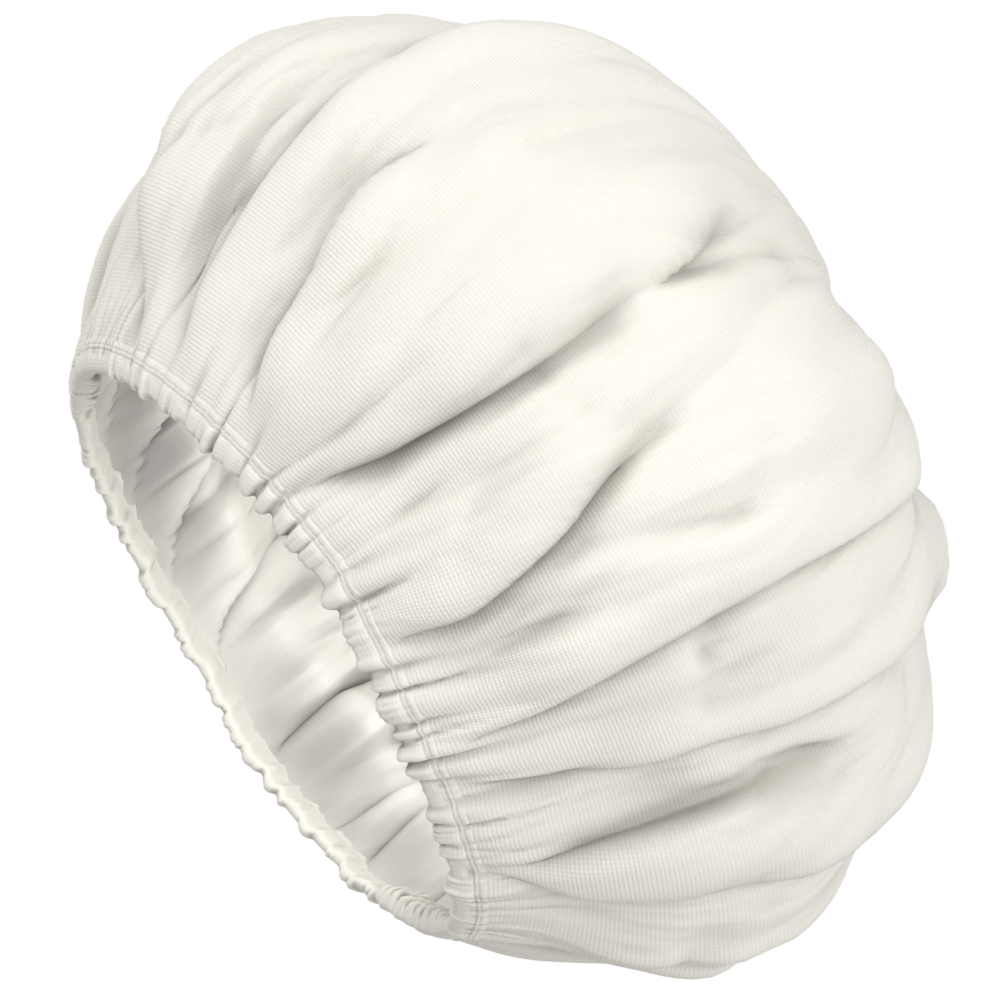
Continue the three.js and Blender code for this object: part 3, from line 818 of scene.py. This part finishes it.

# %% [markdown]
# ## The cloths
# The crown and the lining are round blanks gathered onto the hem, and the casing is one
# long strip.

# %% [markdown]
# ## Writing a finish as sums
# A material is a tree of nodes. Wiring every Math node by hand hides the idea, so this small
# class wraps a socket and lets it be used in ordinary sums. Any other node comes from one
# method, which takes the node's type, its settings and the values of its sockets.

# %% Sockets that add up
class Value:
    """One output socket in a material, usable in sums."""

    def __init__(self, tree, socket=None):
        self.tree, self.socket = tree, socket

    def node(self, kind, settings=None, sockets=None, output=0):
        made = self.tree.nodes.new(kind)
        for name, setting in (settings or {}).items():
            setattr(made, name, setting)
        for key, value in (sockets or {}).items():
            if isinstance(value, Value):
                self.tree.links.new(value.socket, made.inputs[key])
            else:
                made.inputs[key].default_value = value
        return Value(self.tree, made.outputs[output])

    def sum_node(self, operation, first, second=0.0):
        return self.node("ShaderNodeMath", {"operation": operation}, {0: first, 1: second})

    def __add__(self, other):
        return self.sum_node("ADD", self, other)

    def __sub__(self, other):
        return self.sum_node("SUBTRACT", self, other)

    def __rsub__(self, other):
        return self.sum_node("SUBTRACT", other, self)

    def __mul__(self, other):
        return self.sum_node("MULTIPLY", self, other)

    __radd__, __rmul__ = __add__, __mul__

    def sine(self):
        return self.sum_node("SINE", self)

    def step(self, start, end):
        """0 below start, 1 above end, smooth between."""
        return self.node("ShaderNodeMapRange", {"interpolation_type": "SMOOTHSTEP"},
                         {"Value": self, "From Min": start, "From Max": end})

    def mix(self, first, second):
        """A colour between two, by this value."""
        return self.node("ShaderNodeMix", {"data_type": "RGBA"}, {0: self, 6: first, 7: second}, output=2)


# %% Starting and ending a finish
def new_finish(name):
    """A new material, a Value to start its sums from, and its surface shader."""
    material = bpy.data.materials.new(name)
    material.use_nodes = True
    tree = material.node_tree
    return material, Value(tree), tree.nodes["Principled BSDF"]


def set_surface(start, shader, colour, rough, height, depth):
    """Feeds a varying colour, roughness and relief (in metres) to a surface."""
    relief = start.node("ShaderNodeBump", {}, {"Strength": 1.0, "Distance": depth, "Height": height})
    for name, value in (("Base Color", colour), ("Roughness", rough), ("Normal", relief)):
        start.tree.links.new(value.socket, shader.inputs[name])


def object_place(start):
    return start.node("ShaderNodeTexCoord", output=3)


def noise(start, scale, detail):
    return start.node("ShaderNodeTexNoise", {},
                      {"Vector": object_place(start), "Scale": scale, "Detail": detail})


def cloth_place(start):
    """Place across and up the flat cloth, in millimetres."""
    flat = start.node("ShaderNodeUVMap", {"uv_map": "cloth"})
    return (start.node("ShaderNodeSeparateXYZ", {}, {0: flat}, output=0),
            start.node("ShaderNodeSeparateXYZ", {}, {0: flat}, output=1))


def open_share(start):
    """From 0 deep in a fold, where the painted fold shade is full, to 1 on open cloth, where there is
    none.
    """
    return start.node("ShaderNodeAttribute", {"attribute_name": "openness"}, output=2)


# %% [markdown]
# ## Cream ribbed cloth
# The crown's cloth is a fine grid: soft ribs lie along the rings every 1.3 mm and finer
# lines run up the meridians. Towards the apex a ring is shorter, so every second line ends,
# as it does in a knitted crown. A picture of the weave would blur close up, so it is made of
# waves over the cloth map, which is in millimetres, and the pitches are real.

# %% Ribbed cloth finish
RIB_PITCH, LINE_PITCH = 1.3, 0.84
# shares of the relief, and how far a millimetre of rib relief also shows in the colour, as painted shade
# in the weave's grooves
RIB_SHARE, LINE_SHARE, FUZZ_RELIEF, RIB_GROOVE_SHADE = 0.6, 0.4, 0.5, 1.75
# shares of the widest ring's girth at which every second line ends, the run over which it
# does, and the shares between which the last lines end
LINES_HALVE, HALVED_OVER, LINES_END = (0.7, 0.35, 0.18), 5.0, (0.12, 0.07)
FUZZ_SCALE, CLOUD_SCALE = 900.0, 14.0
# how far fuzz and clouds show in the colour, and the level that they start from
FUZZ_TINT, CLOUD_TINT, TINT_LEVEL = 0.25, 0.45, 0.28
CLOTH_ROUGH, ROUGH_CLOUDS, CLOTH_SPECULAR = 0.78, 0.1, 0.25
CREAM, CREAM_SHADE = (0.875, 0.852, 0.785, 1.0), (0.82, 0.795, 0.725, 1.0)
# the painted shade that the cloth takes on deep in its folds
FOLD_SHADE = (0.27, 0.255, 0.225, 1.0)
# below 0 the map's runs are on the tape's inner side, where the cloth is smooth, and its colour is darker
# than the outer side's as painted shade
TAPE_INSIDE_SHADE, TURNS_OUTSIDE = (0.80, 0.78, 0.725, 1.0), (-1.5, 0.5)
CROWN_RIB_DEPTH, TAPE_RIB_DEPTH = 0.08, 0.035


def run_at_ring(shrink):
    """The run above the widest ring where a ring is this share of the widest one's girth."""
    profile = math.acos(shrink)
    share = (profile - HEM_PROFILE_ANGLE) / (math.pi / 2 - HEM_PROFILE_ANGLE)
    return float(np.interp(share, SHARES, RUNS))


def ribbed_cloth(name, rib_depth):
    material, start, shader = new_finish(name)
    across, up = cloth_place(start)
    ribs = (up * (math.tau / RIB_PITCH)).sine()
    lines = (across * (math.tau / LINE_PITCH)).sine()
    for level, shrink in enumerate(LINES_HALVE, start=1):
        wider = (across * (math.tau / LINE_PITCH / 2 ** level)).sine()
        blend = up.step(run_at_ring(shrink) - HALVED_OVER, run_at_ring(shrink) + HALVED_OVER)
        lines = lines * (1 - blend) + wider * blend
    lines = lines * (1 - up.step(*map(run_at_ring, LINES_END)))
    outside = up.step(*TURNS_OUTSIDE)
    weave = (ribs * RIB_SHARE + lines * LINE_SHARE) * outside
    fuzz, clouds = noise(start, FUZZ_SCALE, detail=2.0), noise(start, CLOUD_SCALE, detail=3.0)
    # painted shade: the weave's grooves are darker; the fuzz and clouds are random tone
    pale = weave * (RIB_GROOVE_SHADE * rib_depth) + fuzz * FUZZ_TINT + clouds * CLOUD_TINT + TINT_LEVEL
    # painted shade: the tape's inner side takes a darker copy of the cloth's colour
    faced = outside.mix(TAPE_INSIDE_SHADE, pale.mix(CREAM_SHADE, CREAM))
    # painted shade: the colour goes towards FOLD_SHADE where the cloth is deep in a fold
    colour = open_share(start).mix(FOLD_SHADE, faced)
    rough = clouds * ROUGH_CLOUDS + CLOTH_ROUGH
    set_surface(start, shader, colour, rough, weave + fuzz * FUZZ_RELIEF, rib_depth * MM)
    shader.inputs["Specular IOR Level"].default_value = CLOTH_SPECULAR
    return material


crown.data.materials.append(ribbed_cloth("cream_ribbed_cloth", CROWN_RIB_DEPTH))
casing.data.materials.append(ribbed_cloth("cream_hem_tape", TAPE_RIB_DEPTH))
print(f"every second line ends {[round(run_at_ring(shrink)) for shrink in LINES_HALVE]} mm up the cloth")

# %% [markdown]
# ## Smooth lining, thread and elastic
# The lining is a soft brushed cloth, a little greyer, with only a faint grain. The thread is
# spun, so it has a slanting twist, and it is greyed as painted shade of its stitch grooves.
# The elastic is covered in fine ribs across its length. All three are sums of waves and noise
# again, so they need no pictures either.

# %% Lining finish
LINING_PALE, LINING_DEEP = (0.965, 0.945, 0.90, 1.0), (0.93, 0.91, 0.865, 1.0)
# the painted shade that the lining takes on deep in its creases
LINING_FOLD_SHADE = (0.16, 0.156, 0.15, 1.0)
GRAIN_PITCH, GRAIN_SHARE, NAP_DEPTH = 0.9, 0.25, 0.05
NAP_SCALE, LINING_CLOUD_SCALE = 260.0, 22.0
NAP_TINT, LINING_CLOUD_TINT, LINING_TINT_LEVEL = 0.5, 0.7, 0.1
LINING_ROUGH, NAP_ROUGH, LINING_SPECULAR = 0.75, 0.15, 0.2


def brushed_lining():
    material, start, shader = new_finish("brushed_lining")
    across, up = cloth_place(start)
    grain = (across * (math.tau / GRAIN_PITCH)).sine() * (up * (math.tau / GRAIN_PITCH)).sine()
    nap, clouds = noise(start, NAP_SCALE, detail=4.0), noise(start, LINING_CLOUD_SCALE, detail=3.0)
    pale = nap * NAP_TINT + clouds * LINING_CLOUD_TINT - LINING_TINT_LEVEL
    # painted shade: the colour goes towards the fold shade where the lining is deep in a crease
    colour = open_share(start).mix(LINING_FOLD_SHADE, pale.mix(LINING_DEEP, LINING_PALE))
    rough = nap * NAP_ROUGH + LINING_ROUGH
    set_surface(start, shader, colour, rough, grain * GRAIN_SHARE + nap, NAP_DEPTH * MM)
    shader.inputs["Specular IOR Level"].default_value = LINING_SPECULAR
    return material


lining.data.materials.append(brushed_lining())
print("lining finish:", lining.data.materials[0].name)

# %% Thread and elastic finishes
# the white thread is greyed well below its own colour, as painted shade of the stitch grooves
THREAD_SHADED_PALE, THREAD_SHADED_DEEP = (0.74, 0.72, 0.66, 1.0), (0.58, 0.56, 0.51, 1.0)
ELASTIC_PALE, ELASTIC_DEEP = (0.93, 0.93, 0.92, 1.0), (0.82, 0.82, 0.81, 1.0)
# the bands' slant in radians and pitch in millimetres
TWIST_SLANT, TWIST_PITCH = (0.0, 0.6, 0.8), 0.35
ELASTIC_SLANT, ELASTIC_PITCH = (0.0, 0.0, 0.0), 0.8
BAND_DEPTH, BAND_TINT, BAND_FUZZ, BAND_FUZZ_SCALE = 0.05, 0.6, 0.4, 700.0
BAND_ROUGH, ROUGH_FUZZ = 0.6, 0.2


def banded(name, pale, deep, slant, pitch):
    """Fine bands across a thread or an elastic, on object coordinates."""
    material, start, shader = new_finish(name)
    tilted = start.node("ShaderNodeMapping", {}, {"Vector": object_place(start), "Rotation": slant})
    x = start.node("ShaderNodeSeparateXYZ", {}, {0: tilted}, output=0)
    bands = (x * (math.tau / (pitch * MM))).sine() * 0.5 + 0.5
    fuzz = noise(start, BAND_FUZZ_SCALE, detail=2.0)
    colour = (bands * BAND_TINT + fuzz * BAND_FUZZ).mix(deep, pale)
    set_surface(start, shader, colour, fuzz * ROUGH_FUZZ + BAND_ROUGH, bands, BAND_DEPTH * MM)
    return material


thread = banded("spun_thread_painted_shade", THREAD_SHADED_PALE, THREAD_SHADED_DEEP, TWIST_SLANT, TWIST_PITCH)
for stitches in stitch_rows:
    stitches.data.materials.append(thread)
covered = banded("covered_elastic", ELASTIC_PALE, ELASTIC_DEEP, ELASTIC_SLANT, ELASTIC_PITCH)
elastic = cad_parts["elastic_band"]
elastic.data.materials.clear()
elastic.data.materials.append(covered)
print("finishes:", [material.name for material in bpy.data.materials])

# %% [markdown]
# ## Camera
# The cap is seen a little from below its hem, with the picture turned so that the crown
# points up and to the right. A parallel view would come near it, but a long lens keeps a
# little of the depth.

# %% Camera
VIEW_ELEVATION, VIEW_ROLL = math.radians(-19.0), math.radians(55.4)
VIEW_DISTANCE = 1.4
MM_PER_PIXEL = 0.311
PICTURE_PIXELS = 1000
AIM = Vector((0.0, 0.0, 0.1))
AIM_PIXEL = (521.0, 474.0)
SENSOR_WIDTH = 36.0

scene = bpy.context.scene
back = Vector((0.0, -math.cos(VIEW_ELEVATION), math.sin(VIEW_ELEVATION)))
level_right = Vector((1.0, 0.0, 0.0))
level_up = back.cross(level_right)
right = level_right * math.cos(VIEW_ROLL) + level_up * math.sin(VIEW_ROLL)
up = back.cross(right)
half = PICTURE_PIXELS / 2
centre = (AIM + right * (half - AIM_PIXEL[0]) * MM_PER_PIXEL * MM
          - up * (half - AIM_PIXEL[1]) * MM_PER_PIXEL * MM)
camera_data = bpy.data.cameras.new("camera")
camera_data.sensor_width = SENSOR_WIDTH
camera_data.lens = SENSOR_WIDTH * VIEW_DISTANCE / (PICTURE_PIXELS * MM_PER_PIXEL * MM)
camera = bpy.data.objects.new("camera", camera_data)
turned = Matrix((right, up, back)).transposed().to_4x4()
camera.matrix_world = Matrix.Translation(centre + back * VIEW_DISTANCE) @ turned
scene.collection.objects.link(camera)
scene.camera = camera
print(f"lens {camera_data.lens:.0f} mm at {VIEW_DISTANCE} m")

# %% [markdown]
# ## Studio
# Four large soft lamps stand round the cap: one in front, a key up and to the left in the
# picture, a fill at the right and one behind. A small one inside the cap lights the lining,
# and a pale world fills the folds. To the camera the world and the floor are plain white. The
# floor is far below, because the cap is shown from under its hem.

# %% Lamps
LINING_AIM = Vector((0.005, 0.065, 0.14))


def soft_lamp(name, place, size, power, aim=AIM):
    """A square lamp: its place and size in metres, its power in watts, and where it points."""
    data = bpy.data.lights.new(name, "AREA")
    data.size, data.energy = size, power
    lamp = bpy.data.objects.new(name, data)
    lamp.location = place
    lamp.rotation_mode = "QUATERNION"
    lamp.rotation_quaternion = (aim - Vector(place)).to_track_quat("-Z", "Y")
    scene.collection.objects.link(lamp)
    print(f"{name} lamp: {power} W, {size} m wide")


scene.view_settings.view_transform = "Standard"
soft_lamp("front", (0.35, -1.45, 0.05), 0.9, 7.5)
soft_lamp("key", (-1.56, -0.88, -0.11), 0.7, 12.0)
soft_lamp("right_fill", (0.86, -1.48, 0.91), 1.2, 5.5)
soft_lamp("back", (0.2, 1.75, 0.3), 1.2, 4.0)
soft_lamp("mouth", (0.01, -0.03, 0.038), 0.12, 0.13, aim=LINING_AIM)

# %% World
FILL = (0.60, 0.60, 0.597, 1.0)
PLAIN_WHITE = (1.0, 1.0, 1.0, 1.0)


def seen_white(start):
    """1 for the rays that show the background: straight, mirrored or through glass."""
    rays = start.tree.nodes.new("ShaderNodeLightPath")
    straight, mirrored, through = (
        Value(start.tree, rays.outputs[name])
        for name in ("Is Camera Ray", "Is Glossy Ray", "Is Transmission Ray"))
    return start.sum_node("MAXIMUM", straight, start.sum_node("MAXIMUM", mirrored, through))


def show(tree, output, shown):
    """Links a mixed shader to the surface of a tree's output node."""
    tree.links.new(shown.socket, tree.nodes[output].inputs["Surface"])


world = bpy.data.worlds.new("studio")
scene.world = world
world.use_nodes = True
sky = Value(world.node_tree)
fill = sky.node("ShaderNodeBackground", {}, {"Color": FILL})
white = sky.node("ShaderNodeBackground", {}, {"Color": PLAIN_WHITE})
seen = sky.node("ShaderNodeMixShader", {}, {0: seen_white(sky), 1: fill, 2: white})
show(sky.tree, "World Output", seen)
print("world fill:", FILL[:3])

# %% Floor
FLOOR_HEIGHT, FLOOR_HALF_SIZE = -5.0, 20.0
FLOOR_COLOUR, FLOOR_ROUGH = (0.8, 0.8, 0.8, 1.0), 0.9

floor_mesh = bpy.data.meshes.new("floor")
bm = bmesh.new()
bmesh.ops.create_grid(bm, x_segments=1, y_segments=1, size=FLOOR_HALF_SIZE,
                      matrix=Matrix.Translation((0, 0, FLOOR_HEIGHT)))
bm.to_mesh(floor_mesh)
bm.free()
floor = bpy.data.objects.new("floor", floor_mesh)
scene.collection.objects.link(floor)
pale_floor, start, shader = new_finish("pale_floor")
shader.inputs["Base Color"].default_value = FLOOR_COLOUR
shader.inputs["Roughness"].default_value = FLOOR_ROUGH
lit = Value(start.tree, shader.outputs[0])
glow = start.node("ShaderNodeEmission", {}, {"Color": PLAIN_WHITE})
seen = start.node("ShaderNodeMixShader", {}, {0: seen_white(start), 1: lit, 2: glow})
show(start.tree, "Material Output", seen)
floor_mesh.materials.append(pale_floor)
print(f"floor {-FLOOR_HEIGHT} m below the hem")
